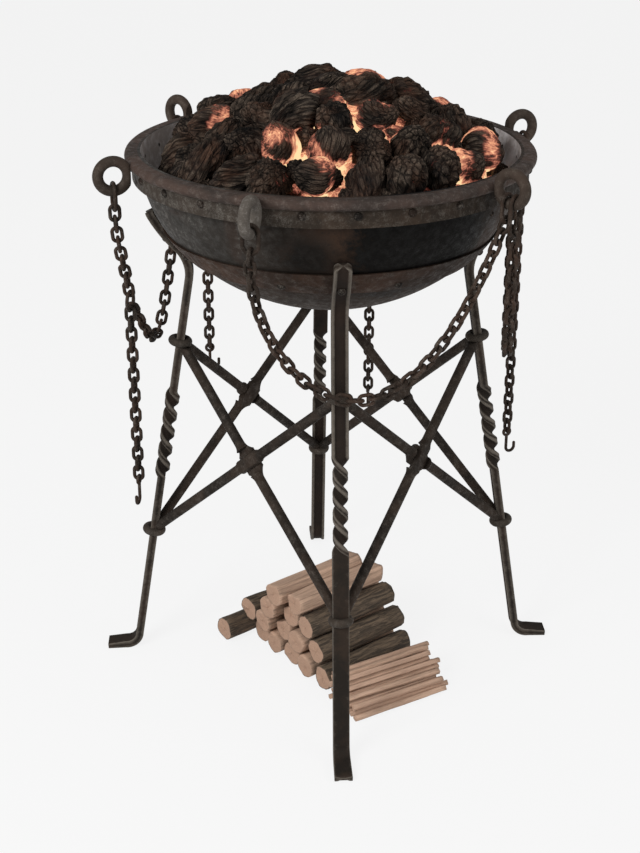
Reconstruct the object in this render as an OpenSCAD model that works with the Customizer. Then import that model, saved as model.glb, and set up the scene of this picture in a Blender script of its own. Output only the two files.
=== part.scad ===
// Standing coal forge: a sheet-iron bowl of burning charcoal on four forged legs.
// Twisted legs are tied by crossed rods; chains and hooks hang from rings at the rim.
// A stack of split logs and a heap of kindling lie on the floor under the bowl.
// +Z is up, the origin is on the floor midway between the feet, and one foot
// points along each of +X, +Y, -X and -Y.

/* [Bowl] */
// Height of the bowl's top edge above the floor
rim_z = 940; // [880:5:1000]
// Outer radius of the bowl at its mouth
bowl_r = 311; // [305:1:316]
// Outer depth of the bowl
bowl_depth = 263; // [255:1:270]
// Radius of the wall's tighter curve, near the mouth
side_arc = 227; // [222:1:232]
// Thickness of the bowl's sheet
bowl_wall = 5; // [3:0.5:7]
// How far the flat band's outer face stands out from the bowl's mouth
band_out = 10; // [8:0.5:12]
// Height of the flat band
band_h = 43; // [38:1:50]
// Radius of the rolled lip's round edge
lip_r = 8; // [6:0.5:9]
// How far the lip's centre line stands out from the bowl's mouth
lip_out = 13; // [11:0.5:16]
// Thickness of the lower hoop
hoop_t = 4; // [3:0.5:5]
// Height of the hoop's lower edge below the rim
hoop_low = 170; // [165:1:178]
// Height of the hoop's upper edge below the rim
hoop_top = 129; // [120:1:140]
// How far the bowl's weld lies below the hoop's upper edge, which hides it
seam_drop = 5; // [3:1:8]

/* [Rivets] */
// Number of rivets round the band
band_rivets = 25; // [18:1:30]
// Direction of the first band rivet
band_rivet_start = -101; // [-110:1:-95]
// Height of the band rivets below the rim
band_rivet_drop = 25; // [22:1:30]
// Radius of the small rivet heads
rivet_head = 6.5; // [5:0.5:8]
// Height of the small rivet heads
rivet_rise = 4.5; // [3:0.5:6]
// Radius of the small rivets' shanks
rivet_shank = 3; // [2.5:0.25:4]
// Angle between a leg and each hoop rivet beside it
hoop_rivet_turn = 20.5; // [16:0.5:25]
// Radius of the leg rivets' heads
leg_rivet_head = 7; // [5.5:0.25:7.25]
// Height of the leg rivets' heads
leg_rivet_rise = 6; // [4:0.5:7]
// Radius of the leg rivets' shanks
leg_rivet_shank = 4; // [3:0.5:5]

/* [Legs] */
// Number of legs
legs = 4; // [4:1:4]
// Width of the leg bar
bar_w = 27; // [24:1:30]
// Thickness of the leg bar
bar_t = 14; // [12:0.5:16]
// Radius at which the legs stand at the upper collars
upper_r = 254; // [250:1:260]
// Height of the upper collars
upper_z = 603; // [590:1:615]
// Radius at which the legs stand at the lower collars
lower_r = 313; // [305:1:320]
// Height of the lower collars
lower_z = 241; // [225:1:260]
// Reach of the feet from the middle of the stand
foot_r = 406; // [400:1:420]
// Thickness of the foot at its tip
foot_tip = 10; // [8:0.5:12]
// Width of the flat foot
foot_w = 30; // [28:1:34]
// Radius of the bend above the foot
foot_bend = 24; // [18:1:30]
// Radius of the bend under the bowl
strap_bend = 66; // [50:1:75]
// Angle below the rim of the strap's top end, seen from the wall's curve
strap_top = 26.5; // [24:0.5:30]
// Angle below the rim of the leg rivet, seen from the wall's curve
strap_rivet = 39.5; // [37:0.5:41]
// Width of the groove in the bar's outer face
groove_w = 15; // [12:0.5:18]
// Depth of that groove
groove_d = 2.4; // [1.5:0.1:3.5]
// Height at which the twist ends below
twist_low = 350; // [335:1:360]
// Height at which the twist ends above
twist_high = 511; // [500:1:525]
// Turns in the twist
twist_turns = 2.5; // [1.5:0.5:3.5]

/* [Braces] */
// Diameter of the brace rods
rod_d = 17; // [15:0.5:19]
// Thickness of the flattened middle of a rod
pad_t = 8; // [6:0.5:8]
// Width of the inner rod's flat
wide_pad = 36; // [32:1:38]
// Width of the outer rod's flat
narrow_pad = 24; // [22:1:28]
// Half the length over which a rod is flattened
pad_reach = 24; // [23:1:28]
// Radius of the flare from the flat to the rod
pad_flare = 22; // [18:1:26]
// Ring radius of the collars
collar_r = 13.5; // [13:0.5:15]
// Wire radius of the collars
collar_wire = 7; // [6:0.5:8]

/* [Rings and chains] */
// Ring radius of the rim rings
ring_r = 23.5; // [22:0.5:26]
// Wire radius of the rim rings
ring_wire = 8.5; // [7.5:0.25:9]
// How far the lip bites into a ring where they are welded
ring_bite = 5; // [3:0.5:6]
// Wire diameter of the chain
wire_d = 6; // [5:0.25:6.25]
// Width of a chain link
link_w = 21; // [20:0.2:22]
// Length of chain that one link takes up
pitch = 18.2; // [17.6:0.1:19]
// Wire diameter of the long links on the rim rings
top_wire = 6.5; // [6:0.25:7.25]
// Straight length of those long links
top_straight = 18; // [14:1:24]
// Ring radius of the joining rings
join_r = 16; // [16:0.5:18]
// Wire diameter of the hooks
hook_wire = 5.6; // [5:0.2:6.4]
// Length of a hook's straight shank
hook_shank = 26; // [20:1:34]
// Radius of a hook's bend
hook_bend = 8.5; // [7:0.5:11]
// Length of a hook's straight tip
hook_tip = 7; // [4:0.5:12]

/* [Fire] */
// Height of the coal heap's top above the rim
heap_h = 120; // [100:1:130]
// Radius of the heap's domed top
dome_r = 384; // [370:1:400]
// Radius of the larger lumps
lump_r = 32; // [30:0.5:33]
// Radius of the small lumps round the edge
edge_lump_r = 22; // [20:0.5:23]

/* [Firewood] */
// Diameter of a log
log_d = 46; // [42:1:47]
// Length of a log
log_l = 192; // [180:1:210]
// Direction in which the logs lie
log_turn = 35; // [33:1:37]
// Width of a kindling stick
stick_w = 12; // [10:0.5:12.5]
// Thickness of a kindling stick
stick_t = 11; // [9:0.5:12]
// Length of a kindling stick
stick_l = 200; // [180:1:215]
// Direction in which the kindling lies
stick_turn = 25; // [23:1:27]

/* [Hidden] */
$fn = 48;
// Clearance between pieces that rest against each other, and round a shank
seat = 0.2;
shank_gap = 0.1;
// Clearance where two chain wires touch
wire_gap = 0.3;
// Clearance between loose lumps, logs and sticks
loose = 0.5;
// Length by which a cutting shape passes the faces it cuts
over = 1;

// Direction, drop below the rim and name of each rim ring
RINGS = [
    ["a", -163, 20],
    ["b", -112, 20],
    ["c", -46, 6],
    ["d", 21, 6],
    ["e", 135, 2],
    ["f", 74, 10],
];
A = 0;
B = 1;
C = 2;
D = 3;
E = 4;
F = 5;

iron = [0.20, 0.17, 0.15];
dark_iron = [0.14, 0.12, 0.11];
worn_iron = [0.38, 0.35, 0.32];
charcoal = [0.10, 0.09, 0.08];
glow = [0.95, 0.42, 0.16];
bark = [0.25, 0.21, 0.17];
sawn = [0.78, 0.60, 0.48];

// ---------------------------------------------------------------- helpers

function on_circle(r, a) = [r * cos(a), r * sin(a)];
function cross2(a, b) = a.x * b.y - a.y * b.x;
// Where the line through p along u meets the line through q along v
function meet(p, u, q, v) = p + u * (cross2(q - p, v) / cross2(u, v));

// Ring of round wire lying in the XY plane
module hoop_ring(r, wire_r) {
    rotate_extrude()
        translate([r, 0]) circle(wire_r);
}

// Sector of the plane between two angles less than 180 degrees apart, out to radius r
module sector(r, a0, a1) {
    far = 2 * r;
    polygon([[0, 0], on_circle(far, a0), on_circle(far, (a0 + a1) / 2), on_circle(far, a1)]);
}

// Curved strip between radii r0 and r1, centred at c
module arc_strip(c, r0, r1, a0, a1) {
    translate(c)
        intersection() {
            difference() {
                circle(r1);
                circle(r0);
            }
            sector(r1, a0, a1);
        }
}

// Straight strip from p to q, between the offsets t0 and t1 on its outer side
module line_strip(p, q, t0, t1) {
    u = (q - p) / norm(q - p);
    out = [-u.y, u.x];
    polygon([p + out * t0, q + out * t0, q + out * t1, p + out * t1]);
}

// ---------------------------------------------------------------- bowl

// The wall is a tight curve near the mouth that runs into a wide one below
bowl_side_r = bowl_r - side_arc;
below_side = bowl_depth - side_arc;
base_rise = (bowl_side_r * bowl_side_r - below_side * below_side) / (2 * below_side);
base_arc = bowl_depth + base_rise;
join_turn = atan2(base_rise, bowl_side_r);
join_depth = side_arc * sin(join_turn);

// Half outline of the bowl grown outwards by g
module bowl_outline(g) {
    translate([0, rim_z])
        intersection() {
            union() {
                translate([bowl_side_r, 0]) circle(side_arc + g);
                intersection() {
                    translate([0, base_rise]) circle(base_arc + g);
                    translate([0, base_rise]) sector(2 * base_arc, -90, -join_turn);
                }
            }
            translate([0, -2 * bowl_depth]) square([2 * bowl_r, 2 * bowl_depth]);
        }
}

// Spot on the upper wall at the angle a below the rim: moves there with +X outwards
module at_wall(a, out) {
    translate([bowl_side_r, 0, rim_z])
        rotate([0, a, 0])
            translate([side_arc + out, 0, 0])
                children();
}

// Angle below the rim at which the wall lies at the depth d
function wall_turn(d) = asin(d / side_arc);

band_r = bowl_r + band_out;
hoop_rivet_depth = (hoop_low + hoop_top) / 2 + 7;
hoop_rivet_down = wall_turn(min(hoop_rivet_depth, join_depth - over));

module band_places() {
    for (i = [0:band_rivets - 1])
        rotate([0, 0, band_rivet_start + i * 360 / band_rivets])
            translate([band_r, 0, rim_z - band_rivet_drop])
                children();
}

module hoop_places() {
    for (i = [0:legs - 1], s = [-1, 1])
        rotate([0, 0, i * 360 / legs + s * hoop_rivet_turn])
            at_wall(hoop_rivet_down, hoop_t)
                children();
}

strap_face = hoop_t + 2 * seat + bar_t - groove_d;
module leg_rivet_place() {
    at_wall(strap_rivet, strap_face)
        children();
}

module leg_rivet_places() {
    for (i = [0:legs - 1])
        rotate([0, 0, i * 360 / legs])
            leg_rivet_place()
                children();
}

// Hole for a rivet's shank, as deep as the depth l below the face the head sits on
module shank_hole(r, l) {
    translate([-l, 0, 0])
        rotate([0, 90, 0])
            cylinder(r = r + shank_gap, h = l + 2 * rivet_rise);
}

// How deep each rivet goes, ending flush within the bowl's wall
band_shank = band_out + bowl_wall;
hoop_shank = hoop_t + bowl_wall - seat;
leg_shank = strap_face + bowl_wall - seat;

// The bowl is a dished bottom with a side wall, rolled round, welded on top of it
seam_z = rim_z - hoop_top - seam_drop;

module bowl_outline_between(low, high) {
    intersection() {
        difference() {
            bowl_outline(0);
            bowl_outline(-bowl_wall);
        }
        translate([0, low]) square([bowl_r, high - low]);
    }
}

module bowl() {
    color(iron)
        difference() {
            rotate_extrude() bowl_outline_between(0, seam_z);
            hoop_places() shank_hole(rivet_shank, hoop_shank + 2 * over);
            leg_rivet_places() shank_hole(leg_rivet_shank, leg_shank + 2 * over);
        }
}

module bowl_side() {
    color(iron)
        difference() {
            rotate_extrude() bowl_outline_between(seam_z, rim_z);
            band_places() shank_hole(rivet_shank, band_shank + 3 * over);
        }
}

lip_z = rim_z - lip_r;
lip_centre = bowl_r + lip_out;

module rim_band() {
    color(worn_iron)
        difference() {
            rotate_extrude()
                difference() {
                    translate([bowl_side_r, rim_z - band_h])
                        square([band_r - bowl_side_r, band_h - 2 * lip_r - seat]);
                    bowl_outline(seat);
                }
            band_places() shank_hole(rivet_shank, band_shank);
        }
}

module rim_lip() {
    color(worn_iron)
        rotate_extrude()
            difference() {
                union() {
                    translate([lip_centre, lip_z]) circle(lip_r);
                    translate([bowl_side_r, lip_z - lip_r])
                        square([lip_centre - bowl_side_r, 2 * lip_r]);
                }
                bowl_outline(seat);
                square([bowl_r, rim_z * 2]);
            }
}

module lower_hoop() {
    color(iron)
        difference() {
            rotate_extrude()
                difference() {
                    intersection() {
                        bowl_outline(hoop_t);
                        translate([0, rim_z - hoop_low]) square([bowl_r, hoop_low - hoop_top]);
                    }
                    bowl_outline(seat);
                }
            hoop_places() shank_hole(rivet_shank, hoop_shank);
            leg_rivet_places() shank_hole(leg_rivet_shank, leg_shank);
        }
}

// Domed rivet whose head stands on the face x = 0 and whose shank goes to the depth l
module rivet(head_r, rise, shank_r, l) {
    dome = (head_r * head_r + rise * rise) / (2 * rise);
    rotate([0, 90, 0]) {
        translate([0, 0, seat])
            intersection() {
                translate([0, 0, rise - dome]) sphere(dome);
                cylinder(r = head_r + over, h = rise + over);
            }
        translate([0, 0, -l]) cylinder(r = shank_r, h = l + rise / 2);
    }
}

module band_rivets() {
    color(dark_iron)
        band_places() rivet(rivet_head, rivet_rise, rivet_shank, band_shank);
}

module hoop_rivets() {
    color(dark_iron)
        hoop_places() rivet(rivet_head, rivet_rise, rivet_shank, hoop_shank);
}

// ---------------------------------------------------------------- legs

// Everything about a leg lies in one upright plane: x is the distance from the
// axis and y the height. The bar's centre line is followed from its top downwards.
strap_arc = side_arc + hoop_t + 2 * seat + bar_t / 2;
strap_centre = [bowl_side_r, rim_z];
strap_foot = strap_centre + on_circle(strap_arc, -join_turn);
strap_way = on_circle(1, -join_turn - 90);
lean = atan2(lower_r - upper_r, upper_z - lower_z);
leg_way = on_circle(1, lean - 90);
leg_point = [upper_r, upper_z];
strap_corner = meet(strap_foot, strap_way, leg_point, leg_way);
strap_swing = lean + join_turn;
strap_set = strap_bend * tan(strap_swing / 2);
bend_centre = strap_corner - strap_way * strap_set + on_circle(strap_bend, -join_turn);
leg_top = strap_corner + leg_way * strap_set;
foot_corner = meet(leg_point, leg_way, [0, bar_t / 2], [1, 0]);
foot_set = foot_bend * tan((90 - lean) / 2);
ankle = foot_corner - leg_way * foot_set;
foot_centre = ankle + on_circle(foot_bend, lean);
foot_start = foot_corner.x + foot_set;

function on_leg(z) = leg_point + leg_way * ((upper_z - z) / cos(lean));

// Band along the upper part of the leg, between two offsets from its centre line
module upper_strip(t0, t1, top_turn) {
    arc_strip(strap_centre, strap_arc + t0, strap_arc + t1, -join_turn - 0.05, -top_turn);
    line_strip(strap_foot, strap_corner - strap_way * strap_set, t0, t1);
    arc_strip(bend_centre, strap_bend - t1, strap_bend - t0, 180 - join_turn - 0.05, 180 + lean + 0.05);
    line_strip(leg_top, on_leg(twist_high - over), t0, t1);
}

// The same band from the twist down to the height z. Both reach a little into the twist.
module lower_strip(t0, t1, z) {
    line_strip(on_leg(twist_low + over), on_leg(z), t0, t1);
}

// Stands an upright plane's outline up with the width w along Y
module stand_up(w) {
    rotate([90, 0, 0])
        linear_extrude(w, center = true)
            children();
}

// Cross-section of the bar where it is twisted, grooved like the bar's face
module twist_section() {
    difference() {
        intersection() {
            square([bar_t + 1, bar_w - 2], center = true);
            rotate(45) square(bar_w - 0.5, center = true);
        }
        for (s = [-1, 1])
            translate([s * (bar_t + 1) / 2, 0])
                rotate(45) square(2 * groove_d, center = true);
    }
}

module leg() {
    difference() {
        union() {
            stand_up(bar_w) upper_strip(-bar_t / 2, bar_t / 2, strap_top);
            stand_up(bar_w) lower_strip(-bar_t / 2, bar_t / 2, ankle.y);
            stand_up(bar_w)
                arc_strip(foot_centre, foot_bend - bar_t / 2, foot_bend + bar_t / 2, 179.95 + lean, 270.05);
            stand_up(foot_w)
                polygon([[foot_start, 0], [foot_r, 0], [foot_r, foot_tip], [foot_start, bar_t]]);
        }
        stand_up(groove_w) upper_strip(bar_t / 2 - groove_d, bar_t / 2 + over, strap_top + 2);
        stand_up(groove_w) lower_strip(bar_t / 2 - groove_d, bar_t / 2 + over, ankle.y + foot_bend);
        leg_rivet_place() shank_hole(leg_rivet_shank, leg_shank);
    }
    translate([on_leg(twist_low).x, 0, twist_low])
        rotate([0, -lean, 0])
            linear_extrude(
                (twist_high - twist_low) / cos(lean),
                twist = 360 * twist_turns, slices = 50, segments = 1
            )
                twist_section();
}

module leg_rivets() {
    color(dark_iron)
        leg_rivet_places()
            rivet(leg_rivet_head, leg_rivet_rise, leg_rivet_shank, leg_shank);
}

// ---------------------------------------------------------------- braces

// The two rods on one side of the stand cross in the plane of its two legs. In the
// frame of a side, X points outwards, Y along the side and Z up the plane's slope.
half_turn = 180 / legs;
side_lean = atan2((lower_r - upper_r) * cos(half_turn), upper_z - lower_z);
cross_share = upper_r / (upper_r + lower_r);
cross_x = (upper_r + (lower_r - upper_r) * cross_share) * cos(half_turn);
cross_z = upper_z - (upper_z - lower_z) * cross_share;
rod_up = [upper_r * sin(half_turn), (upper_z - cross_z) / cos(side_lean)];
rod_down = [lower_r * sin(half_turn), (cross_z - lower_z) / cos(side_lean)];
rod_turn = atan2(rod_up.x, rod_up.y);
flare_end = pad_reach + pad_flare / 2;

// Moves to the collar at the height z of a leg, with Z along the leg
module at_collar(z) {
    translate([on_leg(z).x, 0, z])
        rotate([0, -lean, 0])
            children();
}

// Outline of half a rod about Z, flared out to the width w round its middle
module rod_outline(w, up, down) {
    difference() {
        union() {
            translate([0, -down]) square([rod_d / 2, up + down]);
            translate([0, -flare_end]) square([w / 2, 2 * flare_end]);
        }
        for (t = [-1, 1])
            translate([rod_d / 2 + pad_flare, t * flare_end]) circle(pad_flare);
    }
}

// One rod along Z, flattened in the middle and halved there at the plane X = 0
module rod(w, up, down) {
    difference() {
        rotate_extrude() rod_outline(w, up, down);
        translate([pad_t, -w, -2 * pad_reach]) cube([w, 2 * w, 4 * pad_reach]);
        translate([seat / 2 - w, -w, -pad_reach]) cube([w, 2 * w, 2 * pad_reach]);
    }
}

// What a rod's end is cut back from: the leg, the collar's face, and the rod round the corner
module end_cut(z, side, way) {
    far = 3 * rod_d;
    at_collar(z) {
        cube([bar_t + 2 * seat, bar_w + 2 * seat, 2 * far], center = true);
        translate([0, 0, way * (far - collar_wire - seat)]) cube(2 * far, center = true);
        translate([0, side * (far - seat / 2), 0]) cube(2 * far, center = true);
    }
}

// Brace on the side whose middle is i + 1/2 leg spacings round; up_to is the end
// of the side, -1 or 1, at which its upper collar stands
module brace(i, up_to, w) {
    spacing = 360 / legs;
    rotate([0, 0, (i + 0.5) * spacing])
        difference() {
            translate([cross_x, 0, cross_z])
                rotate([0, -side_lean, 0])
                    rotate([-up_to * rod_turn, 0, 0])
                        own_side(up_to)
                            rod(w, norm(rod_up), norm(rod_down));
            rotate([0, 0, up_to * spacing / 2]) end_cut(upper_z, up_to, 1);
            rotate([0, 0, -up_to * spacing / 2]) end_cut(lower_z, -up_to, -1);
        }
}

// The outer rod keeps its outer half at the crossing, the inner rod its inner half
module own_side(up_to) {
    if (up_to > 0) children();
    else mirror([1, 0, 0]) children();
}

module outer_brace(i) {
    color(dark_iron) brace(i, 1, narrow_pad);
}

module inner_brace(i) {
    color(dark_iron) brace(i, -1, wide_pad);
}

// Collar hugging the leg at the height z
module collar(z) {
    at_collar(z)
        difference() {
            hoop_ring(collar_r, collar_wire);
            cube([bar_t + 2 * seat, bar_w + 2 * seat, 4 * collar_wire], center = true);
        }
}

module upper_collars() {
    color(worn_iron)
        for (i = [0:legs - 1])
            rotate([0, 0, i * 360 / legs]) collar(upper_z);
}

module lower_collars() {
    color(worn_iron)
        for (i = [0:legs - 1])
            rotate([0, 0, i * 360 / legs]) collar(lower_z);
}

// ---------------------------------------------------------------- rim rings

lip_edge = lip_centre + lip_r;
ring_c = lip_edge + ring_r + ring_wire - ring_bite;

// Upright ring welded to the lip, lying in the plane of its direction from the axis
module ring(i) {
    color(worn_iron)
        rotate([0, 0, RINGS[i][1]])
            difference() {
                translate([ring_c, 0, rim_z - RINGS[i][2]]) rotate([90, 0, 0]) hoop_ring(ring_r, ring_wire);
                cylinder(r = lip_edge + seat, h = 2 * rim_z);
            }
}

// A long link hangs from a ring. Where two hang there, side is -1 for the one
// nearer the bowl and 1 for the outer one, and each hangs clear of the other.
top_r = ring_wire + top_wire / 2 + 2 * wire_gap;
twin_out = top_wire + wire_gap + 0.7;
ring_hole = ring_r - ring_wire - top_wire / 2 - wire_gap;
// The outer link of two is longer by about a chain link, so their chains pass each other
function link_straight(side) = top_straight + (side > 0 ? pitch : 0);

function top_z(i, side) =
    rim_z - RINGS[i][2] - (side == 0 ? ring_r : top_r + sqrt(ring_hole * ring_hole - twin_out * twin_out));

// Middle of the wire at the foot of a ring's long link, where a chain hangs
function hang_point(i, side) =
    let (r = ring_c + side * twin_out)
    [
        r * cos(RINGS[i][1]), r * sin(RINGS[i][1]),
        top_z(i, side) - link_straight(side) - top_r
    ];

// Link of round wire in the XY plane, long along X, with its end wires' centres
// reach apart, its sides' centres 2 r apart
module long_link(reach, r, d) {
    half = reach / 2 - r;
    for (s = [-1, 1]) {
        translate([s * half, 0, 0])
            rotate([0, 0, -90 * s])
                rotate_extrude(angle = 180)
                    translate([r, 0]) circle(d = d);
        translate([-half, s * r, 0]) rotate([0, 90, 0]) cylinder(d = d, h = 2 * half);
    }
}

module ring_link(i, side) {
    rotate([0, 0, RINGS[i][1]])
        translate([ring_c + side * twin_out, 0, top_z(i, side) - link_straight(side) / 2])
            rotate([0, 90, 0])
                long_link(link_straight(side) + 2 * top_r, top_r, top_wire);
}

module ring_links() {
    color(dark_iron) {
        ring_link(A, 0);
        ring_link(B, 0);
        for (i = [C, D, E, F], side = [-1, 1]) ring_link(i, side);
    }
}

// ---------------------------------------------------------------- chains

// Point at the share t of the curve with the four control points c
function curve_point(c, t) =
    pow(1 - t, 3) * c[0] + 3 * pow(1 - t, 2) * t * c[1] + 3 * (1 - t) * t * t * c[2] + pow(t, 3) * c[3];
function curve_points(c, n) = [for (i = [0:n]) curve_point(c, i / n)];
// Length along the points p up to each of them
function lengths(p) = [
    for (i = 0, l = 0; i < len(p); l = l + (i + 1 < len(p) ? norm(p[i + 1] - p[i]) : 0), i = i + 1) l
];
// Point at the length s along the points p, whose own lengths are l
function point_at(p, l, s) =
    let (k = min(len([for (x = l) if (x <= s) x]), len(p) - 1) - 1)
    p[k] + (p[k + 1] - p[k]) * (s - l[k]) / (l[k + 1] - l[k]);
function half_turns_off(a) = a - 180 * round(a / 180);

// Each link reaches past the joint it turns on. Two links at a joint share this length.
hook_over = wire_d + wire_gap;
ring_over = (wire_d + top_wire) / 2 + wire_gap;

// Link of a chain, long along X in the XY plane
module link(reach) {
    long_link(reach, (link_w - wire_d) / 2, wire_d);
}

// Chain in the XZ plane along the curve c. Its first and last links are rolled by the
// given angles about their own length and reach past the curve's ends by the given
// lengths, and each link stands square to the next. A joint lies on the wire of the
// link that stands across the curve, so that the other one can turn on it.
module chain(c, roll_first, roll_last, past_first, past_last) {
    p = curve_points(c, 80);
    l = lengths(p);
    total = l[len(l) - 1];
    n = round(total / pitch);
    reach = (total + past_first + past_last + (n - 1) * hook_over) / n;
    turn = 90 + half_turns_off(roll_last - roll_first - 90 * (n - 1)) / (n - 1);
    past = [for (k = [0:n - 1]) k < n - 1 ? hook_over * pow(sin(roll_first + turn * k), 2) : past_last];
    for (k = [0:n - 1]) {
        back = k > 0 ? hook_over - past[k - 1] : past_first;
        from = k * (reach - hook_over) + (k > 0 ? back - past_first : 0);
        a = point_at(p, l, from);
        b = point_at(p, l, from + reach - back - past[k]);
        u = (b - a) / norm(b - a);
        mid = (a + b) / 2 + u * (past[k] - back) / 2;
        translate([mid.x, 0, mid.y])
            rotate([0, -atan2(u.y, u.x), 0])
                rotate([roll_first + turn * k, 0, 0])
                    link(norm(b - a) + back + past[k]);
    }
}

// Upright plane through two joints, with X along the level line from the first to the second
function span(p, q) = norm([q.x - p.x, q.y - p.y]);
function heading(p, q) = atan2(q.y - p.y, q.x - p.x);
module between(p, q) {
    translate([p.x, p.y, 0])
        rotate([0, 0, heading(p, q)])
            children();
}

// Rolls that stand the end links square to the long links on the rings
function first_roll(i, p, q) = heading(p, q) + 90 - RINGS[i][1];
function last_roll(j, p, q) = RINGS[j][1] - heading(p, q) - 90;

// A swag meets its rings at a slope, so its end links sit a little above the long
// links' wires and their joints lie part of the way up to them
swag_play = 0.9;
swag_past = 0.6 * ring_over;
function swag_end(p) = p.z + ring_over - swag_past + swag_play;

// Swag from ring i to ring j; m and n are the curve's inner control points
module swag(i, i_side, j, j_side, m, n) {
    p = hang_point(i, i_side);
    q = hang_point(j, j_side);
    between(p, q)
        chain(
            [[0, swag_end(p)], m, n, [span(p, q), swag_end(q)]],
            first_roll(i, p, q), last_roll(j, p, q), swag_past, swag_past
        );
}

module swag_b_c() {
    color(dark_iron) swag(B, 0, C, -1, [-20, rim_z - 239], [214, rim_z - 547]);
}

module swag_c_d() {
    color(dark_iron) swag(C, 1, D, -1, [-10, rim_z - 400], [250, rim_z - 370]);
}

// A swag with a drop: a short chain runs from ring i to a joining ring centred at
// hub, the swag runs on from there to ring j, and a drop chain hangs from it too
way_in = 100;
way_on = -45;
way_down = -95;
swag_hub = [50, rim_z - 243];

module drop_swag(i, i_side, j, j_side, m, n) {
    p = hang_point(i, i_side);
    q = hang_point(j, j_side);
    top = swag_hub + on_circle(join_r, way_in);
    next = swag_hub + on_circle(join_r, way_on);
    between(p, q) {
        chain(
            [[0, swag_end(p)], [0, p.z * 0.6 + top.y * 0.4], top + on_circle(40, way_in), top],
            first_roll(i, p, q), 0, swag_past, hook_over
        );
        translate([swag_hub.x, 0, swag_hub.y]) rotate([90, 0, 0]) hoop_ring(join_r, wire_d / 2);
        chain(
            [next, m, n, [span(p, q), swag_end(q)]],
            0, last_roll(j, p, q), hook_over, swag_past
        );
    }
}

module swag_a_e() {
    color(dark_iron) drop_swag(A, 0, E, -1, [182, rim_z - 386], [176, rim_z - 435]);
}

module swag_e_f() {
    color(dark_iron) drop_swag(E, 1, F, -1, [150, rim_z - 343], [175, rim_z - 440]);
}

// Where the drop chain hangs under the joining ring of the swag from ring i to ring j
function drop_point(i, i_side, j, j_side) =
    let (
        p = hang_point(i, i_side),
        q = hang_point(j, j_side),
        s = swag_hub + on_circle(join_r, way_down),
        h = heading(p, q)
    )
    [p.x + s.x * cos(h), p.y + s.x * sin(h), s.y];

// Straight chain of n links hanging from the wire at p, which its first link reaches
// past by the length past and stands in the upright plane with the heading h
module hanging_chain(p, n, h, past) {
    reach = pitch + hook_over;
    for (k = [0:n - 1])
        translate([p.x, p.y, p.z + past - reach / 2 - k * pitch])
            rotate([0, 0, h + 90 * k])
                rotate([0, 90, 0])
                    rotate([90, 0, 0])
                        link(reach);
}

// Middle of the wire at the foot of such a chain
function chain_foot(p, n, past) = [p.x, p.y, p.z + past - hook_over - n * pitch];

// Hook hanging from the wire at p; its eye and bend lie in the upright plane with the heading h
module hook(p, h) {
    eye_r = wire_d / 2 + hook_wire / 2 + 3 * wire_gap;
    translate([p.x, p.y, p.z + (wire_d + hook_wire) / 2 + wire_gap - eye_r])
        rotate([0, 0, h])
            rotate([90, 0, 0]) {
                hoop_ring(eye_r, hook_wire / 2);
                translate([0, -eye_r - hook_shank, 0])
                    rotate([-90, 0, 0]) cylinder(d = hook_wire, h = hook_shank);
                translate([hook_bend, -eye_r - hook_shank, 0]) {
                    rotate([0, 0, 180])
                        rotate_extrude(angle = 180)
                            translate([hook_bend, 0]) circle(d = hook_wire);
                    translate([hook_bend, 0, 0]) rotate([-90, 0, 0]) cylinder(d = hook_wire, h = hook_tip);
                    translate([hook_bend, hook_tip, 0]) sphere(d = hook_wire);
                }
            }
}

drop_a = drop_point(A, 0, E, -1);
drop_e = drop_point(E, 1, F, -1);
drop_d = hang_point(D, 1);
drop_f = hang_point(F, 1);
links_a = 17;
links_d = 28;
links_e = 11;
links_f = 28;
turn_a = heading(hang_point(A, 0), hang_point(E, -1)) + 90;
turn_e = heading(hang_point(E, 1), hang_point(F, -1)) + 90;
turn_d = RINGS[D][1];
turn_f = RINGS[F][1];

module drop_chain_a() {
    color(dark_iron) hanging_chain(drop_a, links_a, turn_a, hook_over);
}

module drop_chain_d() {
    color(dark_iron) hanging_chain(drop_d, links_d, turn_d, ring_over);
}

module drop_chain_e() {
    color(dark_iron) hanging_chain(drop_e, links_e, turn_e, hook_over);
}

module drop_chain_f() {
    color(dark_iron) hanging_chain(drop_f, links_f, turn_f, ring_over);
}

module hook_a() {
    color(dark_iron) hook(chain_foot(drop_a, links_a, hook_over), turn_a + 90 * links_a);
}

module hook_d() {
    color(dark_iron) hook(chain_foot(drop_d, links_d, ring_over), turn_d + 90 * links_d);
}

module hook_e() {
    color(dark_iron) hook(chain_foot(drop_e, links_e, hook_over), turn_e + 90 * links_e);
}

module hook_f() {
    color(dark_iron) hook(chain_foot(drop_f, links_f, ring_over), turn_f + 90 * links_f);
}

// ---------------------------------------------------------------- fire

// The bed fills the bowl and rises to a dome, on which the lumps lie in rings
dome_z = rim_z + heap_h - dome_r;
bed_r = dome_r - 2 * lump_r;

module coal_bed() {
    color(charcoal)
        rotate_extrude()
            intersection() {
                union() {
                    bowl_outline(-bowl_wall - seat);
                    translate([0, rim_z - over]) square([bed_r, heap_h]);
                }
                translate([0, dome_z]) circle(bed_r);
            }
}

// A lump of radius r resting on the bed, turned from the top by down and round by about
module lump(r, down, about) {
    translate([0, 0, dome_z])
        rotate([0, down, about])
            translate([0, 0, bed_r + seat + r])
                sphere(r);
}

lump_rows = 4;
lump_path = bed_r + seat + lump_r;
row_turn = 2 * asin((2 * lump_r + loose) / 2 / lump_path);
function row_count(k) =
    k == 0 ? 1 : floor(180 / asin((lump_r + loose) / (lump_path * sin(k * row_turn))));
edge_path = bed_r + seat + edge_lump_r;
edge_turn = 52.2;
edge_count = floor(180 / asin((edge_lump_r + loose) / (edge_path * sin(edge_turn))));
// Every glow_step-th lump glows
glow_step = 4;

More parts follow.
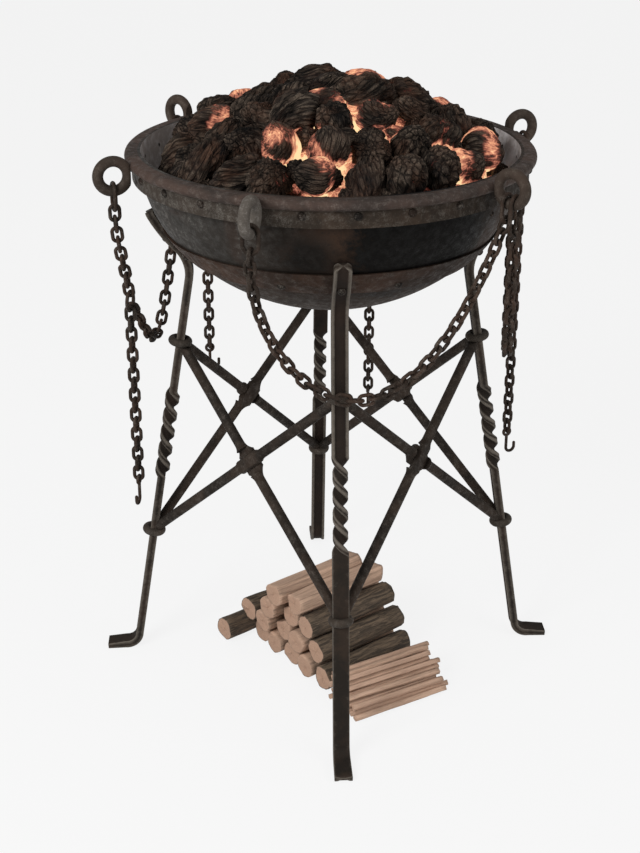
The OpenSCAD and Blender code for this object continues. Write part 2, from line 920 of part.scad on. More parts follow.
module lumps(glowing) {
    for (k = [0:lump_rows], i = [0:row_count(k) - 1])
        if (((i + 2 * k) % glow_step == 1) == glowing)
            lump(lump_r, k * row_turn, (i + 0.5 * (k % 2)) * 360 / row_count(k));
}

module charcoal_lumps() {
    color(charcoal) {
        lumps(false);
        for (i = [0:edge_count - 1]) lump(edge_lump_r, edge_turn, i * 360 / edge_count);
    }
}

module ember_lumps() {
    color(glow) lumps(true);
}

// ---------------------------------------------------------------- firewood

// Logs lie along X in their own frame, stacked in rows that nest in each other.
// Each has its row, its place along the row, how far it is pushed along X,
// and 1 where it is split down to a flat face.
LOGS = [
    [0, 0, -45, 0], [0, 1, 8, 1], [0, 2, 2, 1], [0, 3, 6, 1], [0, 4, 0, 1], [0, 5, 3, 0],
    [1, 0, -6, 0], [1, 1, -8, 1], [1, 2, 5, 1], [1, 3, -3, 1], [1, 4, 6, 0],
    [2, 1, -14, 1], [2, 2, 4, 1], [2, 3, 2, 0],
    [3, 1, -18, 1], [3, 2, -6, 1],
];
log_step = log_d + loose;
log_rise = log_step * sin(60);
first_log = 113;
// How far the pile lies off the stand's middle, along the logs
log_shift = -16;
// How much of a split log's diameter is left under its flat face
split_share = 0.8;

module log(spec) {
    translate([
        spec[2],
        first_log - (spec[1] + spec[0] / 2) * log_step,
        log_d / 2 + spec[0] * log_rise
    ])
        rotate([0, 90, 0])
            if (spec[3] == 0)
                cylinder(d = log_d, h = log_l, center = true);
            else
                intersection() {
                    cylinder(d = log_d, h = log_l, center = true);
                    translate([log_d * (1 - split_share), 0, 0])
                        cube([log_d, log_d, 2 * log_l], center = true);
                }
}

module logs(split) {
    rotate([0, 0, log_turn])
        translate([log_shift, 0, 0])
            for (spec = LOGS)
                if (spec[3] == split)
                    log(spec);
}

module bark_logs() {
    color(bark) logs(0);
}

module split_logs() {
    color(sawn) logs(1);
}

// Kindling sticks slope up against the logs, one row fewer in each layer
stick_rows = 7;
stick_layers = 5;
// Distance from the stand's middle to the side of the heap that faces the logs
heap_side = 160.5;
// How far the sticks lie off the middle along their length, and how unevenly
stick_shift = 12;
stick_uneven = 5;

module kindling() {
    color(sawn)
        rotate([0, 0, stick_turn])
            for (k = [0:stick_layers - 1], j = [k:stick_rows - 1])
                translate([
                    stick_shift + stick_uneven * sin(97 * j + 61 * k),
                    -heap_side - stick_w / 2 - (stick_rows - 1 - j) * (stick_w + loose),
                    stick_t / 2 + k * (stick_t + seat)
                ])
                    cube([stick_l, stick_w, stick_t], center = true);
}

// ---------------------------------------------------------------- nodes

bowl();
bowl_side();
rim_band();
rim_lip();
lower_hoop();
band_rivets();
hoop_rivets();
leg_rivets();
color(iron) rotate([0, 0, -90]) leg();  // leg_front
color(iron) leg();  // leg_right
color(iron) rotate([0, 0, 90]) leg();  // leg_back
color(iron) rotate([0, 0, 180]) leg();  // leg_left
outer_brace(-1);  // brace_front_right_outer
outer_brace(0);  // brace_right_back_outer
outer_brace(1);  // brace_back_left_outer
outer_brace(2);  // brace_left_front_outer
inner_brace(-1);  // brace_front_right_inner
inner_brace(0);  // brace_right_back_inner
inner_brace(1);  // brace_back_left_inner
inner_brace(2);  // brace_left_front_inner
upper_collars();
lower_collars();
ring(A);  // ring_a
ring(B);  // ring_b
ring(C);  // ring_c
ring(D);  // ring_d
ring(E);  // ring_e
ring(F);  // ring_f
ring_links();
swag_a_e();
swag_b_c();
swag_c_d();
swag_e_f();
drop_chain_a();
drop_chain_d();
drop_chain_e();
drop_chain_f();
hook_a();
hook_d();
hook_e();
hook_f();
coal_bed();
charcoal_lumps();
ember_lumps();
bark_logs();
split_logs();
kindling();
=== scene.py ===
import math

import bpy
import numpy as np
from mathutils import Matrix, Vector


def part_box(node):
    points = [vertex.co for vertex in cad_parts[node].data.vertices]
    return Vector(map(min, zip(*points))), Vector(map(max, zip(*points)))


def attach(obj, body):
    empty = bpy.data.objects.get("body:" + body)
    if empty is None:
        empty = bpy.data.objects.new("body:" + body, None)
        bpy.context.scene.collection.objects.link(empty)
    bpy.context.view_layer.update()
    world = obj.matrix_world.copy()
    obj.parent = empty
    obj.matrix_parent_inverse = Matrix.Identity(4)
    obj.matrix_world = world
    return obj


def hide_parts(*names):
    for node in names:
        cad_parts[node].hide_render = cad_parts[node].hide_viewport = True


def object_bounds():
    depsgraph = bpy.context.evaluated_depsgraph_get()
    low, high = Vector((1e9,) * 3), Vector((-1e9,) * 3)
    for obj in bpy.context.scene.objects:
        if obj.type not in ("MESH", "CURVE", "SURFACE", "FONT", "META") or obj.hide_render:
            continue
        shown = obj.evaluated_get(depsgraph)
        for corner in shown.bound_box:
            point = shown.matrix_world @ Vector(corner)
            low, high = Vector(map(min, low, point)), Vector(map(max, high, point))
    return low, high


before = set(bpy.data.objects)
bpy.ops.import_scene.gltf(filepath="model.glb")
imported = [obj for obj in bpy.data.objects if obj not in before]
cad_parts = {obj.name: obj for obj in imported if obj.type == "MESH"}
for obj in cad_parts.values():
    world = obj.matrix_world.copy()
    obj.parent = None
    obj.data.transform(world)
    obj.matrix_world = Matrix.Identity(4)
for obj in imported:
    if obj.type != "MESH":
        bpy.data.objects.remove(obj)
cad_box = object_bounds()

# ---- The view: a standing person a few steps away looks down into the bowl, from a
# ---- little to the left of the front leg. The lens is a short telephoto one.
eye = Vector((-0.1451, -2.2255, 1.4934))
gaze = Vector((0.05359, 0.92613, -0.37339))
camera = bpy.data.objects.new("view", bpy.data.cameras.new("view"))
camera.location = eye
camera.rotation_mode = "QUATERNION"
roll = Matrix.Rotation(0.0026, 3, "Z").to_quaternion()
camera.rotation_quaternion = gaze.to_track_quat("-Z", "Y") @ roll
camera.data.lens = 59.31
camera.data.shift_y = -0.0995
bpy.context.scene.collection.objects.link(camera)
bpy.context.scene.camera = camera
bpy.context.scene.view_settings.view_transform = "Standard"


# ---- The room: a pale floor under an even white sky, with one large soft lamp
# ---- to the left of the viewer and a wide weaker one to the right.
class Wire:
    """A shader socket that takes part in arithmetic: each operator adds its Math node."""

    def __init__(self, finish, socket):
        self.finish, self.socket = finish, socket

    def maths(self, operation, *values):
        """A Math node of that operation on wires and numbers."""
        return self.finish.add("Math", {"operation": operation}, dict(enumerate(values)))

    def __add__(self, other):
        return self.maths("ADD", self, other)

    def __sub__(self, other):
        return self.maths("SUBTRACT", self, other)

    def __rsub__(self, other):
        return self.maths("SUBTRACT", other, self)

    def __mul__(self, other):
        return self.maths("MULTIPLY", self, other)

    __radd__, __rmul__ = __add__, __mul__

    def above(self, low, high):
        """0 below low, 1 above high, and a straight ramp between them."""
        return self.finish.add(
            "MapRange", {"clamp": True}, {"Value": self, "From Min": low, "From Max": high}
        )


class Finish:
    """A material and its nodes. add() makes any node, fill() sets the surface's sockets."""

    def __init__(self, name):
        self.material = bpy.data.materials.new(name)
        self.material.use_nodes = True
        self.nodes = self.material.node_tree.nodes
        self.links = self.material.node_tree.links
        self.surface = self.nodes["Principled BSDF"]

    def put(self, socket, value):
        """Links a wire to a socket, or sets the socket to a colour, vector or number."""
        if isinstance(value, Wire):
            self.links.new(value.socket, socket)
        elif isinstance(value, (tuple, list)) and len(value) == 3 and socket.type == "RGBA":
            socket.default_value = (*value, 1)
        else:
            socket.default_value = value

    def add(self, kind, settings=None, inputs=None, out=0):
        """A node of that kind with its settings and inputs; gives the wire of one output."""
        node = self.nodes.new("ShaderNode" + kind)
        for key, value in (settings or {}).items():
            setattr(node, key, value)
        for key, value in (inputs or {}).items():
            self.put(node.inputs[key], value)
        return Wire(self, node.outputs[out])

    def mix(self, share, low, high):
        """Colour low where share is 0 and high where it is 1."""
        return self.add("Mix", {"data_type": "RGBA"}, {0: share, 6: low, 7: high}, 2)

    def place(self):
        """Place on the object, in metres from the middle of the stand on the floor."""
        return self.add("TexCoord", out=3)

    def part(self, axis):
        """One part of the place, along X, Y or Z."""
        return self.add("SeparateXYZ", None, {0: self.place()}, "XYZ".index(axis))

    def noise(self, scale, detail=4, rough=0.6, at=None, stretch=None, twist=0):
        """Soft noise from 0 to 1 with scale blobs a metre, stretched by the three factors."""
        at = at or self.place()
        if stretch:
            at = self.add("Mapping", None, {"Vector": at, "Scale": stretch})
        return self.add(
            "TexNoise", None,
            {"Vector": at, "Scale": scale, "Detail": detail, "Roughness": rough, "Distortion": twist},
        )

    def near(self, point, reach):
        """1 at a point and 0 from reach metres away."""
        gap = self.add("VectorMath", {"operation": "DISTANCE"}, {0: self.place(), 1: point}, "Value")
        return gap.above(reach, 0)

    def fill(self, **values):
        """Sets the surface's sockets by name and gives the material."""
        for name, value in values.items():
            self.put(self.surface.inputs[name.replace("_", " ").title()], value)
        return self.material

    def bump(self, height, depth, strength=1.0):
        """A normal tilted by a height from 0 to 1 that stands for depth metres."""
        return self.add("Bump", None, {"Height": height, "Distance": depth, "Strength": strength})


room = Finish("pale_floor")
room.fill(base_color=(0.60, 0.60, 0.60), roughness=0.9)
# To the eye and in gloss the floor is nearly white; the rest of it keeps the shadow
seen = room.add("LightPath", out="Is Camera Ray") + room.add("LightPath", out="Is Glossy Ray")
white_share = room.add("Math", {"operation": "MINIMUM"}, {0: seen, 1: 1.0}) * 0.85
glare = room.add("Emission", None, {"Color": (1, 1, 1), "Strength": 1.0})
blend = room.add("MixShader", None, {0: white_share, 2: glare})
room.links.new(room.surface.outputs[0], blend.socket.node.inputs[1])
room.links.new(blend.socket, room.nodes["Material Output"].inputs[0])
far = 9.0
floor_mesh = bpy.data.meshes.new("floor")
floor_mesh.from_pydata([(-far, -far, 0), (far, -far, 0), (far, far, 0), (-far, far, 0)], [], [(0, 1, 2, 3)])
floor = bpy.data.objects.new("floor", floor_mesh)
# Just under the feet, so that their soles show and don't flicker against it
floor.location.z = -0.0005
floor_mesh.materials.append(room.material)
bpy.context.scene.collection.objects.link(floor)

# The sky lights the stand dimly, and is plain white where it is looked at
world = bpy.data.worlds.new("sky")
world.use_nodes = True
bpy.context.scene.world = world
sky = world.node_tree.nodes["Background"]
sky.inputs["Color"].default_value = (1, 1, 1, 1)
sky.inputs["Strength"].default_value = 0.42
white = world.node_tree.nodes.new("ShaderNodeBackground")
white.inputs["Color"].default_value = (1, 1, 1, 1)
white.inputs["Strength"].default_value = 1.0
path = world.node_tree.nodes.new("ShaderNodeLightPath")
either = world.node_tree.nodes.new("ShaderNodeMath")
either.operation = "MAXIMUM"
world.node_tree.links.new(path.outputs["Is Camera Ray"], either.inputs[0])
world.node_tree.links.new(path.outputs["Is Transmission Ray"], either.inputs[1])
choice = world.node_tree.nodes.new("ShaderNodeMixShader")
world.node_tree.links.new(either.outputs[0], choice.inputs[0])
world.node_tree.links.new(sky.outputs[0], choice.inputs[1])
world.node_tree.links.new(white.outputs[0], choice.inputs[2])
world.node_tree.links.new(choice.outputs[0], world.node_tree.nodes["World Output"].inputs[0])


def soft_lamp(name, place, target, size, power):
    """A square lamp of that size at a place, turned towards a target."""
    lamp = bpy.data.lights.new(name, "AREA")
    lamp.size, lamp.energy = size, power
    lamp_object = bpy.data.objects.new(name, lamp)
    lamp_object.location = place
    lamp_object.rotation_mode = "QUATERNION"
    lamp_object.rotation_quaternion = (Vector(target) - Vector(place)).to_track_quat("-Z", "Y")
    bpy.context.scene.collection.objects.link(lamp_object)


soft_lamp("key", (-2.2, -2.4, 2.6), (0, 0, 0.7), 1.6, 95)
soft_lamp("fill", (2.6, -1.8, 1.8), (0, 0, 0.6), 2.0, 30)


# ---- The bowl: sheet iron, dished and welded, with a band and a rolled lip riveted
# ---- round the mouth and a hoop low down. Soot, rust and pale dusting lie in patches;
# ---- the grey on the left is partly a painted sheen, and the pale inner wall partly painted light.
def old_iron(name, dark, rust, pale, pale_speck_share=0.5, marks=None):
    """Forged iron: a dark skin, rust where a wide noise is high, pale specks where a fine
    noise and a grit are high together, and pits from the same two noises. A function
    marks may lay the piece's own stains over that skin, and on the bowl painted light as well."""
    iron = Finish(name)
    patch = iron.noise(13, 5, 0.62, twist=0.6)
    spot = iron.noise(85, 5, 0.68)
    grit = iron.noise(520, 3, 0.75)
    skin = iron.mix(patch.above(0.42, 0.60), dark, rust)
    skin = iron.mix((spot + grit).above(1.02, 1.30) * pale_speck_share, skin, pale)
    iron.fill(
        metallic=0.35,
        roughness=0.82 - spot.above(0.40, 0.65) * 0.30,
        normal=iron.bump(spot * 0.6 + grit * 0.4, 0.0016, 0.8),
    )
    if marks:
        skin = marks(iron, skin, patch, spot, grit)
    iron.fill(base_color=skin)
    iron.surface.inputs["Specular IOR Level"].default_value = 0.15
    return iron.material


def dress(names, material):
    """Gives CAD nodes a material."""
    for name in names:
        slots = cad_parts[name].data.materials
        slots.clear()
        slots.append(material)


def bowl_marks(iron, skin, patch, spot, grit):
    """Ash inside, painted far lighter than its own colour as light against the shade of the
    heap and the lip; outside, dusty grey with a painted sheen on the left, soot right of
    the front leg, and rust in patches and low down, each with a ragged edge from the noises."""
    rough_edge = patch * 1.3 + spot * 0.9 - 1.1
    # Grey on the left: dusting, and a painted sheen where the bowl's left side catches the light
    dust_and_sheen = (iron.part("X").above(0.03, -0.26) + rough_edge * 0.9).above(0.25, 0.95)
    skin = iron.mix(dust_and_sheen * 0.75, skin, (0.050, 0.048, 0.044))
    skin = iron.mix(iron.noise(9, 4, 0.55, twist=1.0).above(0.50, 0.60) * 0.7, skin, (0.040, 0.027, 0.021))
    flaked = (grit + spot).above(1.04, 1.22) * patch.above(0.48, 0.58) * dust_and_sheen
    skin = iron.mix(flaked, skin, (0.14, 0.13, 0.115))
    low = iron.part("Z").above(0.815, 0.765)
    skin = iron.mix((low + rough_edge).above(0.4, 1.0) * 0.6, skin, (0.040, 0.027, 0.019))
    soot = (iron.near((0.13, -0.27, 0.855), 0.20) * 1.7 + rough_edge).above(0.35, 0.8)
    rusty = (iron.near((0.02, -0.30, 0.885), 0.13) * 1.2 + rough_edge).above(0.2, 0.8)
    skin = iron.mix(rusty * 0.7, skin, (0.058, 0.032, 0.020))
    skin = iron.mix(soot, skin, (0.0030, 0.0025, 0.0020))
    scorch = (iron.near((-0.05, -0.29, 0.84), 0.08) * 1.2 + rough_edge).above(0.3, 0.8)
    skin = iron.mix(scorch * 0.9, skin, (0.006, 0.005, 0.004))
    facing = iron.add("NewGeometry", out="Normal")
    out = iron.add("VectorMath", {"operation": "MULTIPLY"}, {0: iron.place(), 1: (1, 1, 0)})
    outward = iron.add("VectorMath", {"operation": "DOT_PRODUCT"}, {0: facing, 1: out}, "Value")
    inside = outward.above(0.0, -0.02)
    iron.fill(metallic=(1 - inside) * 0.35)
    # The inner wall's pale grey is painted far lighter than its own colour, as light against the shade of
    # the heap and the lip
    ash_and_painted_light = iron.mix((patch + spot * 0.5).above(0.62, 0.85), (0.80, 0.75, 0.74), (0.46, 0.40, 0.37))
    return iron.mix(inside, skin, ash_and_painted_light)


def band_marks(iron, skin, patch, spot, grit):
    """Grey flakes of scale on the band's left half, and soot over the right."""
    side = (iron.part("X").above(0.02, -0.20) + patch - 0.5).above(0.2, 0.8)
    skin = iron.mix(side * 0.5, skin, (0.062, 0.053, 0.045))
    skin = iron.mix(iron.part("X").above(0.05, 0.30) * 0.6, skin, (0.014, 0.0105, 0.008))
    return iron.mix((grit + spot).above(0.98, 1.2) * (0.2 + side * 0.4), skin, (0.16, 0.145, 0.125))


def hoop_marks(iron, skin, patch, spot, grit):
    """Soot that grows from the middle of the front to the right."""
    soot = (iron.part("X") + (patch - 0.5) * 0.2).above(0.0, 0.25)
    return iron.mix(soot * 0.8, skin, (0.012, 0.009, 0.007))


bowl_iron = old_iron(
    "sheet_iron", (0.022, 0.017, 0.0135), (0.036, 0.024, 0.017), (0.09, 0.08, 0.07), 0.2, bowl_marks
)
band_iron = old_iron(
    "band_iron", (0.030, 0.0225, 0.017), (0.050, 0.034, 0.024), (0.12, 0.104, 0.088), 0.35, band_marks
)
# The lip is lighter than the band: worn iron, and a painted highlight along its top edge
worn_highlit_lip_iron = old_iron("worn_highlit_lip_iron", (0.046, 0.035, 0.030), (0.078, 0.052, 0.042), (0.20, 0.17, 0.15), 0.45)
hoop_iron = old_iron(
    "hoop_iron", (0.034, 0.021, 0.015), (0.072, 0.040, 0.027), (0.13, 0.11, 0.09), 0.45, hoop_marks
)
dress(["bowl", "bowl_side"], bowl_iron)
dress(["rim_band"], band_iron)
dress(["rim_lip"], worn_highlit_lip_iron)
dress(["lower_hoop"], hoop_iron)

# ---- Rivets: domed heads, hammered over, dark, with pale specks that stand for worn spots and for painted highlights on the domes.
rivet_iron = old_iron("rivet_iron", (0.010, 0.008, 0.0065), (0.022, 0.014, 0.010), (0.19, 0.165, 0.14), 0.7)
dress(["band_rivets", "hoop_rivets", "leg_rivets"], rivet_iron)


# ---- The legs: flat bar rolled with a groove in its outer face, bent to the bowl at
# ---- the top and out to a foot below, and twisted while hot between the collars.
def surface(name, points, faces, uv=None, layers=None):
    """A mesh piece from an array of points and arrays of faces' corner numbers, with a
    UV pair and named numbers or vectors for each point."""
    mesh = bpy.data.meshes.new(name)
    mesh.vertices.add(len(points))
    mesh.vertices.foreach_set("co", np.asarray(points, np.float32).ravel())
    corners = np.concatenate([f.ravel() for f in faces]).astype(np.int32)
    sizes = np.concatenate([np.full(len(f), f.shape[1]) for f in faces]).astype(np.int32)
    mesh.loops.add(len(corners))
    mesh.loops.foreach_set("vertex_index", corners)
    mesh.polygons.add(len(sizes))
    mesh.polygons.foreach_set("loop_start", (np.cumsum(sizes) - sizes).astype(np.int32))
    mesh.polygons.foreach_set("use_smooth", np.ones(len(sizes), bool))
    if uv is not None:
        mesh.uv_layers.new(name="UVMap").data.foreach_set("uv", np.asarray(uv, np.float32)[corners].ravel())
    for key, values in (layers or {}).items():
        kind, field = ("FLOAT_VECTOR", "vector") if values.ndim == 2 else ("FLOAT", "value")
        mesh.attributes.new(key, kind, "POINT").data.foreach_set(field, values.astype(np.float32).ravel())
    mesh.update()
    mesh.validate()
    piece = bpy.data.objects.new(name, mesh)
    bpy.context.scene.collection.objects.link(piece)
    return piece


def tube_faces(rows, around):
    """Faces of a skin of rows rings with around points each, closed at both ends by a fan
    on one more point: the first end's is number rows * around, the last end's the next."""
    row, k = np.meshgrid(np.arange(rows - 1) * around, np.arange(around), indexing="ij")
    nxt = (k + 1) % around
    skin = np.stack([row + k, row + nxt, row + around + nxt, row + around + k], -1).reshape(-1, 4)
    k = np.arange(around)
    nxt = (k + 1) % around
    last, end = (rows - 1) * around, rows * around
    caps = np.concatenate([
        np.stack([nxt, k, np.full(around, end)], -1),
        np.stack([last + k, last + nxt, np.full(around, end + 1)], -1),
    ])
    return skin, caps


def arc(centre, radius, start, stop, steps):
    """Points on an arc in the leg's own plane, angles in degrees."""
    turn = np.radians(np.linspace(start, stop, steps))
    return np.array(centre) + radius * np.stack([np.cos(turn), np.sin(turn)], -1)


def line(start, stop, steps):
    """Points on a straight line between two points."""
    share = np.linspace(0, 1, steps)[:, None]
    return np.array(start) * (1 - share) + np.array(stop) * share


def meet(p, way, q, way_q):
    """Where the line from p along way crosses the line from q along way_q."""
    return p + way * np.linalg.solve(np.stack([way, -way_q], -1), q - p)[0]


def on_circle(degrees):
    """The point at that angle on a circle of radius one."""
    return np.array([math.cos(math.radians(degrees)), math.sin(math.radians(degrees))])


rim_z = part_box("rim_lip")[1].z
foot_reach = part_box("leg_right")[1].x
bar_width, bar_thick = 0.0268, 0.0138
foot_width, foot_tip = 0.0295, 0.0096
# The leg's lean from upright, and the strap's curve: its middle and radius, the angles
# where it starts and stops, and the bend under it
lean = 9.257
strap_middle, strap_radius = np.array([0.084, rim_z]), 0.2384
strap_start, strap_stop, strap_bend = -26.6, -43.6, 0.066
# The upper collar's middle, which the straight shaft runs through, and the foot's bend
collar_spot = np.array([0.254, 0.603])
foot_bend, foot_join = 0.024, 0.0205
# The twisted stretch, and how far it and the strap's rounded end take to form
twist_low, twist_high, twist_turns, twist_fade = 0.350, 0.511, 2.5, 0.014
end_round = 0.007
# How many rings of points each stretch has
strap_steps, bend_steps, shaft_steps, ankle_steps, sole_steps = 34, 30, 240, 20, 14
down_leg, down_strap = on_circle(lean - 90), on_circle(strap_stop - 90)
strap_foot = strap_middle + strap_radius * on_circle(strap_stop)
corner = meet(strap_foot, down_strap, collar_spot, down_leg)
set_back = strap_bend * math.tan(math.radians((lean - strap_stop) / 2))
bend_middle = corner - down_strap * set_back + strap_bend * on_circle(strap_stop)
sole = np.array([0.0, bar_thick / 2])
ankle = meet(collar_spot, down_leg, sole, np.array([1.0, 0.0])) - down_leg * foot_join
foot_middle = ankle + foot_bend * on_circle(lean)
foot_middle[1] = foot_bend + bar_thick / 2

# The centre line from the strap's end to the toe, in the leg's own upright plane. The
# straight runs stop a few millimetres short of each bend, so that their rings don't crowd
centre_line = np.concatenate([
    arc(strap_middle, strap_radius, strap_start, strap_stop, strap_steps)[:-1],
    arc(bend_middle, strap_bend, 180 + strap_stop, 180 + lean, bend_steps),
    line(corner + down_leg * (set_back + 0.004), ankle - down_leg * 0.003, shaft_steps),
    arc(foot_middle, foot_bend, 181 + lean, 270, ankle_steps),
    line((foot_middle[0] + 0.003, bar_thick / 2), (foot_reach, foot_tip / 2), sole_steps),
])
along = np.concatenate([[0], np.cumsum(np.linalg.norm(np.diff(centre_line, axis=0), axis=1))])
way = np.gradient(centre_line, along, axis=0)
way /= np.linalg.norm(way, axis=1)[:, None]
outward = np.stack([-way[:, 1], way[:, 0]], -1)

# Half of the bar's section in millimetres, across and out, from the back's middle to the
# groove's middle, and the same points where the bar is twisted and both faces are grooved
flat_half = np.array([
    (0, -6.9), (6, -6.9), (11.9, -6.9), (13.0, -6.4), (13.4, -5.3), (13.4, 0), (13.4, 5.5), (13.0, 6.5),
    (12.1, 6.9), (9.6, 6.9), (8.4, 6.5), (7.7, 5.4), (7.2, 4.6), (6.4, 4.3), (3, 4.3), (0, 4.3),
])
twisted_half = np.array([
    (0, -5.0), (3.5, -5.4), (6.6, -6.6), (8.8, -7.1), (10.6, -6.3), (11.8, -3.6), (12.1, 0), (11.8, 3.6),
    (11.3, 5.2), (10.3, 6.5), (8.9, 7.1), (7.4, 7.0), (6.0, 6.4), (4.6, 5.7), (2.4, 5.1), (0, 5.0),
])
# Where the section is worn and painted pale as a highlight on its edges, up to 1, and where rust gathers,
# down to -1
wear_highlight_rust_half = np.array([0, 0, 0.2, 0.9, 0.6, 0.1, 0.6, 1, 0.9, 0.7, 0.5, 0, -0.6, -1, -0.8, -0.7])
mirror = np.array([-1, 1])
flat_bar, twisted_bar = (
    np.concatenate([half, half[-2:0:-1] * mirror]) / 1000 for half in (flat_half, twisted_half)
)
wear_highlight_rust = np.concatenate([wear_highlight_rust_half, wear_highlight_rust_half[-2:0:-1]])

height = centre_line[:, 1]
on_shaft = centre_line[:, 0] > corner[0] + 0.001
above_low = np.clip((height - twist_low) / twist_fade, 0, 1)
below_high = np.clip((twist_high - height) / twist_fade, 0, 1)
in_twist = above_low * below_high * on_shaft
twist = 2 * np.pi * twist_turns * np.clip((twist_high - height) / (twist_high - twist_low), 0, 1)
foot_start = along[-ankle_steps - sole_steps]
to_toe = np.clip((along - foot_start) / (along[-1] - foot_start), 0, 1)
past_bend = np.clip((centre_line[:, 0] - foot_middle[0]) / (foot_reach - foot_middle[0]), 0, 1)
thick = bar_thick + (foot_tip - bar_thick) * past_bend
width = 1 + (foot_width / bar_width - 1) * to_toe
end_gap = np.clip(1 - along / end_round, 0, 1)
width = width * (1 - 0.42 * end_gap**2.4)

# Each section is shaped, turned by the twist, and stood across the centre line
shape = flat_bar + in_twist[:, None, None] * (twisted_bar - flat_bar)
shape = shape * np.stack([width, thick / bar_thick], -1)[:, None, :]
cos_t, sin_t = np.cos(twist)[:, None], np.sin(twist)[:, None]
across = shape[..., 0] * cos_t + shape[..., 1] * sin_t
out = shape[..., 1] * cos_t - shape[..., 0] * sin_t
in_plane = centre_line[:, None, :] + out[..., None] * outward[:, None, :]
bar_points = np.stack([in_plane[..., 0], across, in_plane[..., 1]], -1).reshape(-1, 3)
ends = np.stack([centre_line[[0, -1], 0], [0, 0], centre_line[[0, -1], 1]], -1)
bar_points = np.concatenate([bar_points, ends])
rows, around = len(centre_line), len(flat_bar)
bar_wear_highlight_rust = np.concatenate([np.tile(wear_highlight_rust, rows), [0.5, 0.8]])

leg_iron = Finish("bar_iron")
patch = leg_iron.noise(16, 5, 0.62, twist=0.5)
spot = leg_iron.noise(95, 5, 0.68)
grit = leg_iron.noise(560, 3, 0.75)
wear_highlight_rust_fac = leg_iron.add("Attribute", {"attribute_name": "wear_highlight_rust"}, out="Fac")
skin = leg_iron.mix(patch.above(0.42, 0.60), (0.021, 0.0165, 0.013), (0.038, 0.026, 0.019))
# Pale on the edges: worn iron and a painted highlight; dark brown in the groove: rust
worn_and_highlit = (wear_highlight_rust_fac * 0.9 + spot - 0.5 + grit * 0.4).above(0.35, 1.0)
skin = leg_iron.mix(worn_and_highlit * 0.85, skin, (0.165, 0.142, 0.117))
skin = leg_iron.mix((0 - wear_highlight_rust_fac).above(0.1, 1.0) * 0.55, skin, (0.020, 0.012, 0.009))
leg_iron.fill(
    base_color=skin, metallic=0.35, roughness=0.80 - wear_highlight_rust_fac.above(0, 1) * 0.25,
    normal=leg_iron.bump(spot * 0.6 + grit * 0.4, 0.0014, 0.8),
)
leg_iron.surface.inputs["Specular IOR Level"].default_value = 0.2
for number, place in enumerate(("right", "back", "left", "front")):
    turned = bar_points @ np.array(Matrix.Rotation(math.radians(90 * number), 3, "Z")).T
    leg = surface(f"{place}_leg_bar", turned, tube_faces(rows, around), layers={"wear_highlight_rust": bar_wear_highlight_rust})
    leg.data.materials.append(leg_iron.material)
    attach(leg, "stand")
    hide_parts(f"leg_{place}")

# ---- The braces: round rods, flattened and halved where they cross, and held to the
# ---- legs by collars of thick wire bent round them.
rod_iron = old_iron("rod_iron", (0.024, 0.019, 0.0155), (0.045, 0.032, 0.024), (0.13, 0.112, 0.094), 0.5)
collar_iron = old_iron(
    "collar_iron", (0.045, 0.038, 0.031), (0.060, 0.046, 0.036), (0.13, 0.115, 0.10), 0.6
)
dress([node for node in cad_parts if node.startswith("brace_")], rod_iron)
dress(["upper_collars", "lower_collars"], collar_iron)

# ---- Rings forged from bar and welded to the lip, and the chains, whose links were
# ---- closed one in the next. One ring has gone pale with ash and handling.
ring_iron = old_iron("ring_iron", (0.048, 0.036, 0.028), (0.062, 0.044, 0.034), (0.13, 0.11, 0.09), 0.5)
pale_iron = old_iron("pale_iron", (0.095, 0.082, 0.070), (0.120, 0.104, 0.088), (0.24, 0.22, 0.20), 0.9)
chain_iron = old_iron("chain_iron", (0.030, 0.022, 0.017), (0.058, 0.036, 0.026), (0.14, 0.12, 0.10), 0.6)
dress(["ring_a", "ring_c", "ring_d", "ring_e", "ring_f"], ring_iron)
dress(["ring_b"], pale_iron)
dress([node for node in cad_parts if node.startswith(("swag", "drop_chain", "hook"))], chain_iron)
dress(["ring_links"], chain_iron)

# ---- The fire: charred wood in a heap, knobs and billets whose strands have twisted
# ---- and opened in the heat. Between them, and over a few of them, the heap glows.
# The bed's top is part of a sphere, and the lumps' middles lie on larger ones around it
heap_radius, lump_path, edge_path, small_path = 0.320, 0.3522, 0.3422, 0.337
lump_r, edge_r, small_r, lump_gap, small_gap = 0.032, 0.022, 0.020, 0.0005, 0.004
heap_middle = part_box("coal_bed")[1].z - heap_radius
# The hottest places: x, y and how far each spreads
hot_places = np.array([
    (-0.181, -0.004, 0.026), (-0.077, -0.147, 0.034), (-0.049, -0.163, 0.028), (-0.021, -0.165, 0.042),
    (-0.100, -0.176, 0.022), (-0.029, -0.229, 0.028), (0.031, -0.084, 0.040), (0.066, 0.040, 0.050),
    (0.089, -0.104, 0.040), (0.175, -0.135, 0.050), (0.235, -0.065, 0.036), (0.206, 0.035, 0.042),
    (0.115, 0.050, 0.032), (-0.035, -0.063, 0.026), (0.02, 0.17, 0.040), (-0.14, 0.12, 0.036),
])


def waves(p, size, count, seed):
    """Smooth noise at the points p, about -1 to 1: a mean of sine waves of about that
    wavelength that run in chance directions."""
    dice = np.random.default_rng(seed)
    way = dice.normal(size=(3, count))
    way *= (2 * np.pi / size) * dice.uniform(0.6, 1.6, count) / np.linalg.norm(way, axis=0)
    return np.sin(p @ way + dice.uniform(0, 2 * np.pi, count)).mean(-1) * math.sqrt(count / 2)


def heat_at(p):
    """1 in the middle of a hot place and less away from it, by the bell curve of the
    distance in plan; the strongest place counts."""
    gap = (p[..., None, 0] - hot_places[:, 0]) ** 2 + (p[..., None, 1] - hot_places[:, 1]) ** 2
    return np.exp(-gap / hot_places[:, 2] ** 2).max(-1)


